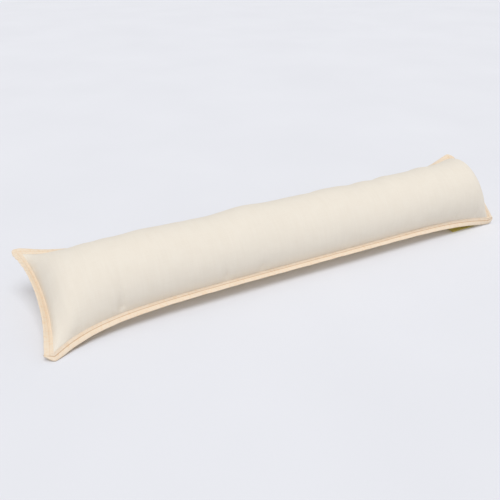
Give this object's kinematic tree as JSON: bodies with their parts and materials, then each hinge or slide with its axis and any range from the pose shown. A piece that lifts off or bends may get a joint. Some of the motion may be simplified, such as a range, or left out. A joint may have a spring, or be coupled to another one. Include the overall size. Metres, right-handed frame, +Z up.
{
  "type": "draught excluder",
  "caption": "Long stuffed fabric cushion with a bound edge all round, laid along the foot of a door to stop draughts.",
  "frame": {"origin": "middle of the footprint, on the surface the cushion lies on", "axes": "+X along the cushion towards its fuller end, +Y from the front, where its edge is low, to the back, +Z up"},
  "size_m": [0.9003, 0.2159, 0.1239],
  "materials": {
    "calico": "matt fine cotton",
    "binding": "matt folded cotton band",
    "ribbon": "satin ribbon"
  },
  "bodies": {
    "root": {"body": "calico", "band_front": "binding", "band_back": "binding", "band_left": "binding", "band_right": "binding", "label": "ribbon"}
  },
  "joints": []
}
